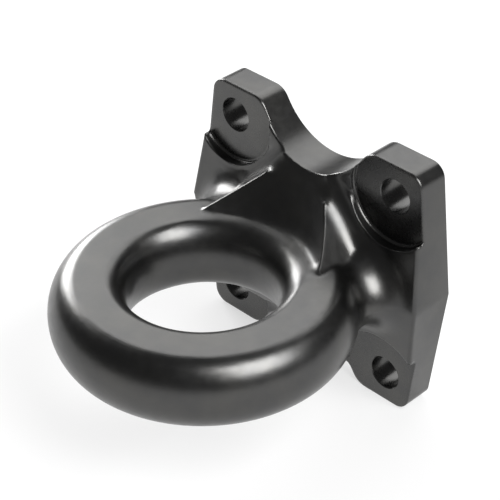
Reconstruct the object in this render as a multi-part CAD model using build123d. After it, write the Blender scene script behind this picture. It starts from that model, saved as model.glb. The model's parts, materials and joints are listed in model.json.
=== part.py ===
from build123d import *
from math import hypot, radians, tan
import os

# A bolt-on tow ring: one drop forging with a ring eye, a gusseted neck and a four-bolt flange.
# Origin: centre of the bolt pattern on the machined mounting face. +Z is along the axis of
# the eye, +Y points into the carrier that the flange is bolted to, and the ring lies at -Y.
# The dies part on the plane z = 0. The upper half is built first, and the lower half is its
# mirror image. All sizes are millimetres and degrees.

# Eye ring
eye_bore = 76.2
ring_outer = 156.8
ring_height = 40.4
band_inner = 98.8
band_width = 14.3
mount_to_eye = 94.6

# Flange
flange_width = 160.0
flange_height = 145.9
flange_thickness = 26.9
die_draft = 7.0
scallop_radius = 40.0
scallop_to_parting = 49.1
lug_outer_corner = 8.0
lug_inner_corner = 10.0
flange_edge_round = 1.5

# Bolt holes and their spot faces
bolt_spacing = 111.1
bolt_hole = 18.5
bolt_hole_chamfer = 0.5
lug_thickness = 17.5
spot_face = 54.0
spot_face_corner = 1.6

# Gusset between the ring and the flange: two faces at 45 degrees that meet above the eye axis.
# Its sides run down past the top of the ring, so they end inside it, and it runs on towards
# the eye axis until it is well inside the throat.
gusset_apex = 62.0
gusset_half_width = 46.0
gusset_to_axis = 25.0
crest_round = 1.0

# Throat: a cone about the eye axis that clears the pintle hook
throat_radius = 55.3
throat_angle = 30.0

# Forging blends
ring_fillet = 16.0
gusset_fillet = 10.5
foot_fillet = 6.0

# Derived values
ring_outer_radius = ring_outer / 2
eye_radius = eye_bore / 2
flat_inner_radius = band_inner / 2
flat_outer_radius = flat_inner_radius + band_width
inner_shoulder = flat_inner_radius - eye_radius
outer_shoulder = ring_outer_radius - flat_outer_radius
half_height = ring_height / 2
ring_y = -mount_to_eye
draft_slope = tan(radians(die_draft))
flange_top = flange_height / 2
draft_inset = draft_slope * flange_top
scallop_centre_z = scallop_to_parting + scallop_radius
bolt_offset = bolt_spacing / 2
gusset_reach = mount_to_eye - gusset_to_axis
throat_slope = tan(radians(throat_angle))
eye_axis = Axis((0, ring_y, 0), (0, 0, 1))
same = 0.05


def on_gusset(point):
    """Is the point on one of the two 45 degree faces of the gusset?"""
    return abs(abs(point.X) + point.Z - gusset_apex) < same


def on_front(point):
    """Is the point on the drafted front face of the flange?"""
    return abs(-point.Y - flange_thickness + draft_slope * point.Z) < same


def on_ring(point):
    """Is the point on the rounded outside of the ring?"""
    out = hypot(point.X, point.Y - ring_y) - flat_outer_radius
    round_outside = hypot(out / outer_shoulder, point.Z / half_height)
    return out > 0 and abs(round_outside - 1) < same / outer_shoulder


def on_throat(point):
    """Is the point on the cone of the throat?"""
    cone_radius = throat_radius + throat_slope * (point.Z - half_height)
    return abs(hypot(point.X, point.Y - ring_y) - cone_radius) < same


def on_scallop(point):
    """Is the point on the wall of the scallop, in front of the mounting face?"""
    return abs(hypot(point.X, point.Z - scallop_centre_z) - scallop_radius) < same and point.Y < -same


def on_band(point):
    """Is the point on the flat band of the ring?"""
    return abs(point.Z - half_height) < same


def in_ring_height(point):
    """Is the point above the parting plane and no higher than the ring?"""
    return same < point.Z < half_height + same


def edges_where(shape, *tests):
    """The edges of a shape whose start, middle and end all pass every test."""
    return [
        edge for edge in shape.edges()
        if all(test(edge @ t) for test in tests for t in (0, 0.5, 1))
    ]


def ring_upper():
    """Upper half of the eye ring: a flat band with a quarter ellipse inside and outside it."""
    outer = EllipticalCenterArc((flat_outer_radius, 0), outer_shoulder, half_height, 0, arc_size=90)
    band = Line((flat_outer_radius, half_height), (flat_inner_radius, half_height))
    inner = EllipticalCenterArc((flat_inner_radius, 0), inner_shoulder, half_height, 90, arc_size=90)
    base = Line((eye_radius, 0), (ring_outer_radius, 0))
    section_plane = Plane(origin=(0, ring_y, 0), x_dir=(1, 0, 0), z_dir=(0, -1, 0))
    return revolve(section_plane * make_face([outer, band, inner, base]), eye_axis, 360)


def scallop():
    """Cutter for the round gap between the two upper lugs."""
    return Pos(0, 0, scallop_centre_z) * Rot(90, 0, 0) * Cylinder(scallop_radius, 2 * mount_to_eye)


def flange_upper():
    """Upper half of the flange, with draft on its sides and on its front face and with round corners."""
    half_width = flange_width / 2
    outline = Polyline(
        (-half_width, 0), (half_width, 0), (half_width - draft_inset, flange_top),
        (draft_inset - half_width, flange_top), close=True)
    plate = extrude(Plane.XZ * make_face(outline), flange_thickness)
    side_view = Polyline(
        (0, 0), (-flange_thickness, 0), (draft_inset - flange_thickness, flange_top),
        (0, flange_top), close=True)
    wedge = extrude(Plane.YZ * make_face(side_view), flange_width, both=True)
    blank = (plate & wedge) - scallop()
    corners = [edge for edge in blank.edges().filter_by(Axis.Y) if edge.center().Z > flange_top - same]
    corners = sorted(corners, key=lambda edge: edge.center().X)
    blank = fillet([corners[1], corners[2]], lug_inner_corner)
    corners = [edge for edge in blank.edges().filter_by(Axis.Y) if edge.center().Z > flange_height / 3]
    corners = sorted(corners, key=lambda edge: edge.center().X)
    return fillet([corners[0], corners[-1]], lug_outer_corner)


def gusset_upper():
    """Upper half of the gusset, from the mounting face into the throat, cut by the scallop."""
    shoulder = gusset_apex - gusset_half_width
    outline = Polyline(
        (-gusset_half_width, 0), (-gusset_half_width, shoulder), (0, gusset_apex),
        (gusset_half_width, shoulder), (gusset_half_width, 0), close=True)
    return extrude(Plane.XZ * make_face(outline), gusset_reach) - scallop()


def throat():
    """Cutter for the throat: a cone that narrows down to the parting plane inside the ring."""
    low = throat_radius - throat_slope * half_height
    high = throat_radius + throat_slope * (flange_top - half_height)
    return Pos(0, ring_y, flange_top / 2) * Cone(low, high, flange_top)


def spot_face_cutter():
    """Cutter for a spot face: a flat-bottomed cylinder with a round bottom corner."""
    radius = spot_face / 2
    depth = flange_thickness
    section = make_face(Polyline((0, 0), (radius, 0), (radius, depth), (0, depth), close=True))
    corner = [point for point in section.vertices() if point.X > same and point.Y < same]
    section = fillet(corner, spot_face_corner)
    cutter = revolve(Plane.XZ * section, Axis.Z, 360)
    return Pos(0, -lug_thickness, 0) * Rot(90, 0, 0) * cutter


def bolt_hole_cutter():
    """Cutter for a bolt hole with a small chamfer at the spot face."""
    radius = bolt_hole / 2
    drill = Rot(90, 0, 0) * Cylinder(radius, 4 * flange_thickness)
    lead = Cone(radius, radius + 2 * bolt_hole_chamfer, 2 * bolt_hole_chamfer)
    return drill + Pos(0, -lug_thickness, 0) * Rot(90, 0, 0) * lead


def foot_edges(shape):
    """The edges where the gusset stands on the ring, all the way round the gusset."""
    sides = edges_where(shape, on_gusset, in_ring_height)
    front = edges_where(shape, on_throat, in_ring_height)
    crest_ends = [
        edge for edge in edges_where(shape, on_band)
        if (on_gusset(edge @ 0) and on_throat(edge @ 1)) or (on_throat(edge @ 0) and on_gusset(edge @ 1))
    ]
    return sides + front + crest_ends


def upper_half():
    """The upper half of the forging before it is machined."""
    plate = flange_upper()
    ring_and_plate = ring_upper() + plate
    ring_and_plate = fillet(edges_where(ring_and_plate, on_front, on_ring), ring_fillet)
    gusset = plate + gusset_upper()
    gusset = fillet(edges_where(gusset, on_front, on_gusset), gusset_fillet)
    body = ring_and_plate + (gusset - throat())
    body = fillet(edges_where(body, on_gusset, on_throat), crest_round)
    body = fillet(foot_edges(body), foot_fillet)
    return fillet(edges_where(body, on_scallop), flange_edge_round)


def tow_ring():
    """The whole part: both halves of the forging, spot-faced and drilled."""
    upper = upper_half()
    body = upper + mirror(upper, Plane.XY)
    for x in (-bolt_offset, bolt_offset):
        for z in (-bolt_offset, bolt_offset):
            body -= Pos(x, 0, z) * spot_face_cutter()
            body -= Pos(x, 0, z) * bolt_hole_cutter()
    return body


part = tow_ring()
os.makedirs("parts", exist_ok=True)
export_step(part, "parts/tow_ring.step")
print("volume", round(part.volume), "solids", len(part.solids()), "valid", part.is_valid)
print("box", part.bounding_box())
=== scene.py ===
# %% [markdown]
# # A bolt-on tow ring in dark forged steel
# The real part is one drop forging: a thick ring, a gusseted neck and a square flange with
# four bolt holes. It was hammered between two dies, trimmed, quenched in oil and then machined
# on the mounting face, the bolt holes and the round spot faces. This script dresses the solid
# of that forging: it finishes the skin, adds the light and sets the camera.
# The solid comes in as the frame, in metres. +Z is along the axis of the eye, +Y points into the
# carrier behind the flange, and the origin is on the mounting face, amid the bolt holes.

# %% Load the solid
import json
import math

import bpy
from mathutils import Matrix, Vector

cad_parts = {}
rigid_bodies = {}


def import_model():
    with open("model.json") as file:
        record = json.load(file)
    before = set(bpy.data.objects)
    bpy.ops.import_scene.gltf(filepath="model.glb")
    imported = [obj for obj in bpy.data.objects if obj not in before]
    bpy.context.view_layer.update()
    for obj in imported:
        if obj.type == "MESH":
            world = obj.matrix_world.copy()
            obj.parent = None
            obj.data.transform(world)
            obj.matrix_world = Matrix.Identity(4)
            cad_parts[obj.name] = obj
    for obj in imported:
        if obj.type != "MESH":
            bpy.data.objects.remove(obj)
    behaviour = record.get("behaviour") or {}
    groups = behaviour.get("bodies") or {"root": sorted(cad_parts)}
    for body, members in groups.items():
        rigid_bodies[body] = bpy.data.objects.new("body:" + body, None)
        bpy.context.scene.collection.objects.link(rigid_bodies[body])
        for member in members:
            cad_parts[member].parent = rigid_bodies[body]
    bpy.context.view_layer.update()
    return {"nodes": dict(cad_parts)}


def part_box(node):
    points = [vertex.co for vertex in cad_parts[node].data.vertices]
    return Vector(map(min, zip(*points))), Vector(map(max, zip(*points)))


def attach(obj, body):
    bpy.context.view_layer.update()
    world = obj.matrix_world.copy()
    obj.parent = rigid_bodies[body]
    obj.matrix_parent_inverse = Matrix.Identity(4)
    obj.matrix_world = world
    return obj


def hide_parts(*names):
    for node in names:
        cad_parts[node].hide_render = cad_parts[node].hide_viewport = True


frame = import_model()
low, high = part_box("tow_ring")
mm = 0.001
solid = frame["nodes"]["tow_ring"]
print("solid from", [round(v, 4) for v in low], "to", [round(v, 4) for v in high])
print("triangles in the solid:", sum(len(face.vertices) - 2 for face in solid.data.polygons))

# %% [markdown]
# ## The forged body
# A forging has soft blends where one form runs into the next, and its few crisp lines are the
# machined ones. The solid has these forms at their true place, but its mesh is a net of loose
# triangles that shades unevenly. The body could be modelled again from primitives, but it would
# only come near the solid. So the body shown is a copy of that mesh: its doubles are merged to
# make one closed skin, which can then be worked on like any other mesh.

# %% Copy the solid and close its skin
double_gap = 0.002 * mm
bpy.ops.object.select_all(action="DESELECT")
body = bpy.data.objects.new("forged_body", solid.data.copy())
bpy.context.scene.collection.objects.link(body)
body.matrix_world = solid.matrix_world.copy()
bpy.context.view_layer.objects.active = body
body.select_set(True)
bpy.ops.object.transform_apply(location=True, rotation=True, scale=True)
bpy.ops.object.mode_set(mode="EDIT")
bpy.ops.mesh.select_all(action="SELECT")
bpy.ops.mesh.remove_doubles(threshold=double_gap)
bpy.ops.mesh.normals_make_consistent(inside=False)
bpy.ops.object.mode_set(mode="OBJECT")
bpy.ops.mesh.customdata_custom_splitnormals_clear()
print("corners after merging:", len(body.data.vertices))

# %% [markdown]
# ## Soft blends at the throat
# On the real forging the throat runs into the ring in a wide hollow, the sides of the gusset run
# into the flange in another, and the crest between throat and gusset fades out towards the
# flange. In the solid these places are even, tight fillets. A wider blend could be carved by hand
# in sculpt mode, but relaxing is simpler to repeat: the skin is divided finely around these
# places, and the Smooth modifier then draws each point towards its neighbours.
# A vertex group says how much each point may relax, so crisp machined edges nearby stay as
# they are.

# %% The forms around the throat
eye_y = -94.6 * mm
ring_top = 20.2 * mm
throat_foot = 55.3 * mm
throat_lean = math.tan(math.radians(30))
gusset_apex = 62 * mm
scallop_centre_z = 89.1 * mm
scallop_radius = 40 * mm
flange_front = 26.9 * mm
flange_draft = math.tan(math.radians(7))
bolt_offset = 55.55 * mm
spot_face_radius = 27 * mm
print("throat radius at the top of the ring:", throat_foot)

# %% Where each blend starts and ends
# Each pair is a distance at which the relaxing starts to change and one at which it has changed.
foot_share = 0.4
foot_reach = (14 * mm, 28 * mm)
foot_off_gusset = (0.5 * mm, 7 * mm)
crest_reach = (9 * mm, 18 * mm)
crest_fade = (41 * mm, 49 * mm)
side_reach = (16 * mm, 28 * mm)
side_off_throat = (0.5 * mm, 5 * mm)
side_off_ring = (3 * mm, 10 * mm)
off_spot_face = (2 * mm, 7 * mm)
off_scallop = (1 * mm, 4 * mm)
nearest_to_flange = -20 * mm


def step(value, start, end):
    """0 before start, 1 after end, and a smooth rise between them."""
    t = min(max((value - start) / (end - start), 0), 1)
    return t * t * (3 - 2 * t)


# %% How much a point may relax
def relax_amount(point):
    """How much a point of the skin may relax, from 0 to 1."""
    if not eye_y < point.y < nearest_to_flange:
        return 0
    x, z = abs(point.x), abs(point.z)
    radius = math.hypot(point.x, point.y - eye_y)
    above = z - ring_top
    from_foot = math.hypot(radius - throat_foot, above)
    from_throat = radius - throat_foot - throat_lean * above
    from_gusset = (gusset_apex - x - z) / math.sqrt(2)
    from_crest = math.hypot(from_throat, from_gusset)
    from_front = flange_draft * z - flange_front - point.y
    from_scallop = math.hypot(point.x, z - scallop_centre_z) - scallop_radius
    from_spot_face = math.hypot(x - bolt_offset, z - bolt_offset) - spot_face_radius
    foot = foot_share * (1 - step(from_foot, *foot_reach)) * step(from_gusset, *foot_off_gusset)
    crest = (1 - step(from_crest, *crest_reach)) * step(z, *crest_fade)
    crest *= step(from_scallop, *off_scallop)
    side = 1 - step(math.hypot(from_gusset, from_front), *side_reach)
    side *= step(from_throat, *side_off_throat) * step(above, *side_off_ring)
    side *= step(from_spot_face, *off_spot_face) * step(from_scallop, *off_scallop)
    return max(foot, crest, side)


# %% Divide the skin there
finest = 1.7 * mm
most_rounds = 7


def select_long_edges():
    """Select the edges that may relax and are still too long, and count them."""
    amounts = [relax_amount(corner.co) for corner in body.data.vertices]
    for corner in body.data.vertices:
        corner.select = False
    for face in body.data.polygons:
        face.select = False
    selected = 0
    for edge in body.data.edges:
        a, b = (body.data.vertices[i] for i in edge.vertices)
        is_long = (a.co - b.co).length > finest
        edge.select = is_long and amounts[a.index] + amounts[b.index] + relax_amount((a.co + b.co) / 2) > 0
        selected += edge.select
    return selected


for round_of_cuts in range(most_rounds):
    long_edges = select_long_edges()
    print("long edges before round", round_of_cuts + 1, "of cuts:", long_edges)
    if not long_edges:
        break
    bpy.ops.object.mode_set(mode="EDIT")
    bpy.ops.mesh.select_mode(type="EDGE")
    bpy.ops.mesh.subdivide(number_cuts=1, quadcorner="STRAIGHT_CUT", ngon=False)
    bpy.ops.mesh.select_all(action="SELECT")
    bpy.ops.mesh.quads_convert_to_tris(quad_method="BEAUTY", ngon_method="BEAUTY")
    bpy.ops.object.mode_set(mode="OBJECT")

# %% Relax the skin there
relaxing = body.vertex_groups.new(name="relaxing")
for corner in body.data.vertices:
    amount = relax_amount(corner.co)
    if amount > 0:
        relaxing.add([corner.index], amount, "REPLACE")
relax = body.modifiers.new("relax", "SMOOTH")
relax.factor = 0.5
relax.iterations = 800
relax.vertex_group = relaxing.name
bpy.ops.object.modifier_apply(modifier=relax.name)
print("corners after relaxing:", len(body.data.vertices), "triangles:", len(body.data.polygons))

# %% [markdown]
# ## Even shading
# The real skin is one surface without facets, so its highlights run on without a break, except
# across real corners. A much finer mesh would show that too, but at a cost in memory. Here the
# skin is shaded smooth up to an angle, and weighted normals let the big faces lead, so that the
# long thin triangles of the blends don't show.

# %% Shade the skin
corner_angle = math.radians(28)
bpy.ops.object.shade_smooth_by_angle(angle=corner_angle)
even_shading = body.modifiers.new("even_shading", "WEIGHTED_NORMAL")
even_shading.mode = "FACE_AREA"
even_shading.weight = 50
even_shading.keep_sharp = True
bpy.ops.object.modifier_apply(modifier=even_shading.name)
print("shaded smooth up to", round(math.degrees(corner_angle)), "degrees")


# %% [markdown]
# ## Dark forged steel
# Oil quenching leaves the steel nearly black, with a satin gloss: smooth enough to mirror the
# room softly, with a fine grain from the scale that was blasted off. A grey paint would look
# dull, so the material is a very dark metal, and noise in the object's own space varies it.

# %% Helpers for materials
def new_material(name):
    """A material with an empty node tree and a shader wired to its output."""
    material = bpy.data.materials.new(name)
    material.use_nodes = True
    tree = material.node_tree
    tree.nodes.clear()
    output = tree.nodes.new("ShaderNodeOutputMaterial")
    shader = tree.nodes.new("ShaderNodeBsdfPrincipled")
    tree.links.new(shader.outputs["BSDF"], output.inputs["Surface"])
    return material, tree, shader


def noise(tree, scale, detail=2.0, roughness=0.5):
    """Noise on the object's own coordinates, in cells per metre."""
    coordinates = tree.nodes.new("ShaderNodeTexCoord")
    texture = tree.nodes.new("ShaderNodeTexNoise")
    texture.inputs["Scale"].default_value = scale
    texture.inputs["Detail"].default_value = detail
    texture.inputs["Roughness"].default_value = roughness
    tree.links.new(coordinates.outputs["Object"], texture.inputs["Vector"])
    return texture.outputs["Fac"]


def ramp(tree, value, start, end):
    """A straight change from one value to another: start and end are (input, output)."""
    node = tree.nodes.new("ShaderNodeMapRange")
    (node.inputs["From Min"].default_value, node.inputs["To Min"].default_value) = start
    (node.inputs["From Max"].default_value, node.inputs["To Max"].default_value) = end
    tree.links.new(value, node.inputs["Value"])
    return node.outputs["Result"]


def bump(tree, height, strength, distance, before):
    """A bump from a height, laid over an earlier normal."""
    node = tree.nodes.new("ShaderNodeBump")
    node.inputs["Strength"].default_value = strength
    node.inputs["Distance"].default_value = distance
    tree.links.new(height, node.inputs["Height"])
    tree.links.new(before, node.inputs["Normal"])
    return node.outputs["Normal"]


# %% More helpers: arithmetic on values
def calculate(tree, operation, first, second=None):
    """A math node on values or numbers."""
    node = tree.nodes.new("ShaderNodeMath")
    node.operation = operation
    for socket, value in zip(node.inputs, (first, second)):
        if isinstance(value, (int, float)):
            socket.default_value = value
        elif value is not None:
            tree.links.new(value, socket)
    return node.outputs["Value"]


def distance_to(tree, x_value, z_value, x_centre, z_centre):
    """The distance to an axis along Y, from a point's own x and z."""
    x_part = calculate(tree, "POWER", calculate(tree, "SUBTRACT", x_value, x_centre), 2.0)
    z_part = calculate(tree, "POWER", calculate(tree, "SUBTRACT", z_value, z_centre), 2.0)
    return calculate(tree, "SQRT", calculate(tree, "ADD", x_part, z_part))


def tool_marks(tree, distance, pitch):
    """Fine waves that repeat at the tool's pitch."""
    return calculate(tree, "SINE", calculate(tree, "MULTIPLY", distance, 2 * math.pi / pitch))


# %% Grain, stains and waves of the forged skin
grain_cells = 1700
stain_cells = 45
roughness_cells = 220
wave_cells = 70
steel, tree, shader = new_material("forged_steel")
shader.inputs["Metallic"].default_value = 1.0
fine_grain = noise(tree, grain_cells, 2)
stains = noise(tree, stain_cells, 4, 0.6)
skin_roughness = ramp(tree, noise(tree, roughness_cells, 3), (0.3, 0.29), (0.7, 0.34))
waves = noise(tree, wave_cells, 2)
print("grain of the skin, in mm:", round(1 / grain_cells / mm, 2))

# %% [markdown]
# ## The machined places
# The spot faces and bolt holes are turned after forging, and the mounting face is milled, so they
# are flatter and a little glossier than the skin and carry fine marks from the tool: rings on a
# spot face, wide arcs on the mounting face. They could have materials of their own, on faces
# picked by hand. Masks are simpler here, and find them by place: how far a point is from the axis
# of its bolt hole, and how far it lies in front of the mounting face.

# %% Masks of the machined places
spot_face_depth = 17.5 * mm
spot_face_corner = 1.6 * mm
bore_radius = 9.75 * mm
milled_depth = 0.1 * mm
place = tree.nodes.new("ShaderNodeSeparateXYZ")
tree.links.new(tree.nodes.new("ShaderNodeTexCoord").outputs["Object"], place.inputs["Vector"])
away_x = calculate(tree, "ABSOLUTE", place.outputs["X"])
away_z = calculate(tree, "ABSOLUTE", place.outputs["Z"])
from_bolt = distance_to(tree, away_x, away_z, bolt_offset, bolt_offset)
in_circle = calculate(tree, "LESS_THAN", from_bolt, spot_face_radius)
off_floor = calculate(tree, "ABSOLUTE", calculate(tree, "ADD", place.outputs["Y"], spot_face_depth))
near_floor = calculate(tree, "LESS_THAN", off_floor, spot_face_corner)
turned = calculate(tree, "MULTIPLY", in_circle, near_floor)
bored = calculate(tree, "LESS_THAN", from_bolt, bore_radius)
milled = calculate(tree, "GREATER_THAN", place.outputs["Y"], -milled_depth)
machined = calculate(tree, "MAXIMUM", calculate(tree, "MAXIMUM", turned, bored), milled)
print("nodes so far:", len(tree.nodes))

# %% Tool marks on the machined places
ring_pitch = 1.2 * mm
arc_pitch = 2.4 * mm
cutter_z = -400 * mm
from_cutter = distance_to(tree, place.outputs["X"], place.outputs["Z"], 0.0, cutter_z)
rings = calculate(tree, "MULTIPLY", tool_marks(tree, from_bolt, ring_pitch), turned)
arcs = calculate(tree, "MULTIPLY", tool_marks(tree, from_cutter, arc_pitch), milled)
marks = calculate(tree, "ADD", rings, arcs)
print("rings every", round(ring_pitch / mm, 1), "mm, arcs every", round(arc_pitch / mm, 1), "mm")

# %% [markdown]
# ## Colour, gloss and rounded rims
# The dies leave the rims of the flange round, and a round rim draws a line of light. The solid
# rounds the rim of the scallops, while its other rims are plain corners. They could be bevelled
# in the mesh, but here a Bevel node rounds them in the shading alone: the line of light is there,
# and the outline of the corner stays sharp. The node looks around each point at random, which
# makes a hard corner look ragged, so it rounds nothing near the mounting face or in the bolt
# holes, which are machined sharp.

# %% Colour and gloss
dark_steel = (0.080, 0.080, 0.080, 1)
stained_steel = (0.093, 0.092, 0.089, 1)
machined_gloss = 0.04
colour = tree.nodes.new("ShaderNodeMix")
colour.data_type = "RGBA"
colour.inputs[6].default_value = dark_steel
colour.inputs[7].default_value = stained_steel
tree.links.new(ramp(tree, stains, (0.35, 0.0), (0.65, 1.0)), colour.inputs[0])
tree.links.new(colour.outputs[2], shader.inputs["Base Color"])
glossier = calculate(tree, "MULTIPLY", machined, machined_gloss)
tree.links.new(calculate(tree, "SUBTRACT", skin_roughness, glossier), shader.inputs["Roughness"])
print("steel from", dark_steel[:3], "to", stained_steel[:3])

# %% Rounded rims
sharp_depth = 3 * mm
sharp_radius = 12 * mm
inner_rim = (62 * mm, 0.8 * mm)
outer_rim = (70 * mm, 2.2 * mm)
rim_round = ramp(tree, calculate(tree, "MAXIMUM", away_x, away_z), inner_rim, outer_rim)
in_front = calculate(tree, "LESS_THAN", place.outputs["Y"], -sharp_depth)
off_bore = calculate(tree, "GREATER_THAN", from_bolt, sharp_radius)
rounded = calculate(tree, "MULTIPLY", in_front, off_bore)
softened = tree.nodes.new("ShaderNodeBevel")
softened.samples = 8
tree.links.new(calculate(tree, "MULTIPLY", rim_round, rounded), softened.inputs["Radius"])
print("rims rounded by up to", round(outer_rim[1] / mm, 1), "mm")

# %% Relief
mark_height = 0.15
wave = bump(tree, waves, 0.10, 0.4 * mm, softened.outputs["Normal"])
forged_part = calculate(tree, "SUBTRACT", 1.0, machined)
even_grain = calculate(tree, "SUBTRACT", fine_grain, 0.5)
forged_relief = calculate(tree, "MULTIPLY", even_grain, forged_part)
machined_relief = calculate(tree, "MULTIPLY", marks, mark_height)
relief = calculate(tree, "ADD", forged_relief, machined_relief)
tree.links.new(bump(tree, relief, 0.5, 0.03 * mm, wave), shader.inputs["Normal"])
print("nodes in the steel:", len(tree.nodes))

# %% Put the steel on the body
body.data.materials.clear()
body.data.materials.append(steel)
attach(body, "root")
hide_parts("tow_ring")
print("materials on the body:", [material.name for material in body.data.materials])

# %% [markdown]
# ## Floor and light
# Dark satin steel has hardly any colour of its own: what shows is the room that it mirrors.
# A product studio for such a part is therefore mostly white things of different brightness. An
# even white room would be simpler, but it turns the steel flat and grey.
# The part stands on a white light table, which glows a little and keeps its shadow faint. Two
# bright soft boxes draw the highlights on the round forms, a wide panel behind fills the flat
# tops, and the rest of the room is dim, so that the throat and the spot faces stay nearly black.

# %% A white light table
table_grey = 0.30
table_glow = 0.62
bpy.ops.object.select_all(action="DESELECT")
bpy.ops.mesh.primitive_plane_add(size=6.0, location=(0, 0, low[2]))
floor = bpy.context.object
floor.name = "light_table"
table_top, tree, shader = new_material("white_table_top")
shader.inputs["Base Color"].default_value = (table_grey, table_grey, table_grey, 1)
shader.inputs["Roughness"].default_value = 0.9
shader.inputs["Emission Color"].default_value = (1, 1, 1, 1)
shader.inputs["Emission Strength"].default_value = table_glow
floor.data.materials.append(table_top)
print("table top at", round(low[2], 4))

# %% Soft boxes
middle = Vector((0, -0.07, 0))
light_distance = 1.2


def soft_light(name, azimuth, elevation, width, height, brightness):
    """A soft box that faces the middle of the part, from an azimuth and elevation in degrees."""
    light = bpy.data.lights.new(name, "AREA")
    light.shape = "RECTANGLE"
    light.size = width
    light.size_y = height
    light.energy = brightness * math.pi * width * height
    lamp = bpy.data.objects.new(name, light)
    bpy.context.scene.collection.objects.link(lamp)
    turn = math.radians(azimuth)
    rise = math.radians(elevation)
    direction = Vector((math.cos(rise) * math.cos(turn), math.cos(rise) * math.sin(turn), math.sin(rise)))
    lamp.location = middle + light_distance * direction
    lamp.rotation_euler = (-direction).to_track_quat("-Z", "Y").to_euler()
    print(name, "gives", round(light.energy, 1), "watts")


soft_light("right_softbox", -2, 43, 0.75, 0.78, 11.0)
soft_light("left_softbox", 165, 20, 0.55, 0.60, 17.0)
soft_light("back_panel", 118, 45, 1.00, 0.75, 2.8)

# %% A dim room
room_brightness = 0.10
world = bpy.data.worlds.new("studio")
bpy.context.scene.world = world
world.use_nodes = True
world.node_tree.nodes["Background"].inputs["Color"].default_value = (1, 1, 1, 1)
world.node_tree.nodes["Background"].inputs["Strength"].default_value = room_brightness
bpy.context.scene.view_settings.view_transform = "Standard"
print("brightness of the room:", room_brightness)

# %% [markdown]
# ## Camera
# The picture looks at the part from a corner: as much from the right as from the front, and as
# much from above. The camera's place and focal length could be set by eye, but they were worked
# out from the ring, because the ovals that its circles make in the picture fix both. The Standard
# view transform, set with the room, keeps the white ground pure white.

# %% Camera
focal_pixels = 1697.0
image_pixels = 500.0
camera_place = (0.4960, -0.5583, 0.5143)
view_direction = Vector((-1, 1, -1)).normalized()
camera_data = bpy.data.cameras.new("camera")
camera_data.sensor_width = 36.0
camera_data.lens = focal_pixels / image_pixels * camera_data.sensor_width
camera = bpy.data.objects.new("camera", camera_data)
bpy.context.scene.collection.objects.link(camera)
camera.location = camera_place
camera.rotation_euler = view_direction.to_track_quat("-Z", "Y").to_euler()
bpy.context.scene.camera = camera
print("focal length:", round(camera_data.lens, 1), "mm")
